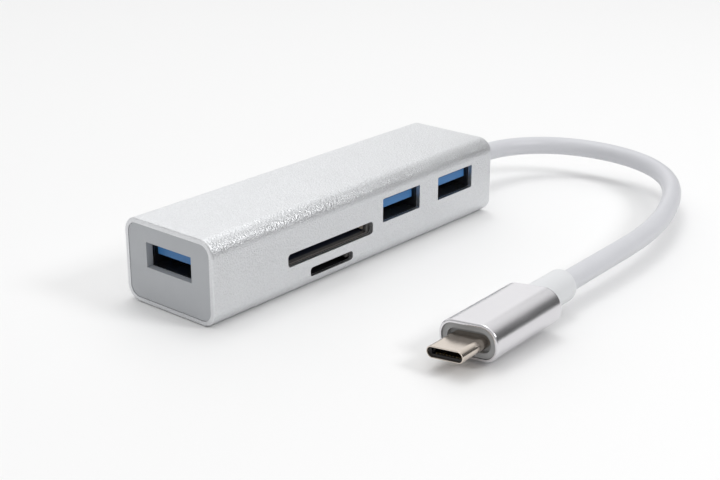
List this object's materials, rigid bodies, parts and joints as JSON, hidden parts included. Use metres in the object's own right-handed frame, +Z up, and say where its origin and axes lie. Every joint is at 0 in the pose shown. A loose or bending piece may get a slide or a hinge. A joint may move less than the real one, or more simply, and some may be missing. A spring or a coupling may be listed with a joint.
{
  "type": "usb hub",
  "caption": "Aluminium-sleeved hub with USB-A sockets in one side and one end, two memory card slots, and a short captive lead to a USB-C plug.",
  "frame": {"origin": "middle of the underside of the case, lead left out", "axes": "+X along the case towards the lead, -Y out of the side sockets, +Z up"},
  "size_m": [0.1328, 0.0763, 0.0178],
  "materials": {
    "aluminium": "bead blasted, clear anodised",
    "cap_plastic": "mid grey moulded plastic",
    "black_plastic": "black moulded plastic",
    "blue_plastic": "blue moulded insulator",
    "tin_plate": "tin-plated sheet steel",
    "gold_contact": "gold-plated spring contact",
    "steel": "plain steel",
    "board_green": "soldermask over glass-epoxy board",
    "chip_black": "moulded chip package",
    "ceramic": "ceramic component body",
    "crystal_can": "stamped crystal can",
    "cord_white": "white thermoplastic cable jacket",
    "wire_copper": "tinned copper conductor",
    "plug_grey": "grey moulded insert",
    "nickel": "nickel-plated stainless shell"
  },
  "bodies": {
    "hub": {"aluminium_shell": "aluminium", "front_end_cap": "cap_plastic", "rear_end_cap": "cap_plastic", "inner_tray": "black_plastic", "circuit_board": "board_green", "board_screws": "steel", "card_socket_base": "black_plastic", "card_socket_cover": "tin_plate", "card_socket_contacts": "gold_contact", "card_lock_spring": "nickel", "small_card_socket_base": "black_plastic", "small_card_socket_cover": "tin_plate", "small_card_socket_contacts": "gold_contact", "ejector_spring": "steel", "hub_controller_chip": "chip_black", "card_reader_chip": "chip_black", "clock_crystal": "crystal_can", "voltage_regulator": "chip_black", "capacitors": "ceramic", "resistors": "chip_black", "cord": "cord_white", "cable_grommet": "cap_plastic", "cord_anchor": "black_plastic", "cord_conductors": "wire_copper", "plug_sleeve": "aluminium", "plug_core": "plug_grey", "plug_neck": "cord_white", "plug_tip": "nickel", "plug_insulator": "black_plastic", "plug_contacts": "gold_contact", "plug_latch_springs": "nickel", "plug_board": "board_green", "plug_conductors": "wire_copper", "end_port_shell": "tin_plate", "end_port_housing": "blue_plastic", "end_port_contacts": "gold_contact", "end_port_riser": "black_plastic", "side_port_1_shell": "tin_plate", "side_port_1_housing": "blue_plastic", "side_port_1_contacts": "gold_contact", "side_port_1_riser": "black_plastic", "side_port_2_shell": "tin_plate", "side_port_2_housing": "blue_plastic", "side_port_2_contacts": "gold_contact", "side_port_2_riser": "black_plastic"},
    "ejector": {"ejector_slider": "black_plastic"}
  },
  "joints": [
    {"name": "small_card_ejector", "type": "slide", "parent": "hub", "child": "ejector", "axis": [0, 1, 0], "range_m": [0, 0.004], "stiffness_N_per_m": 150, "springref_m": -0.002, "deforming": ["ejector_spring"]}
  ]
}
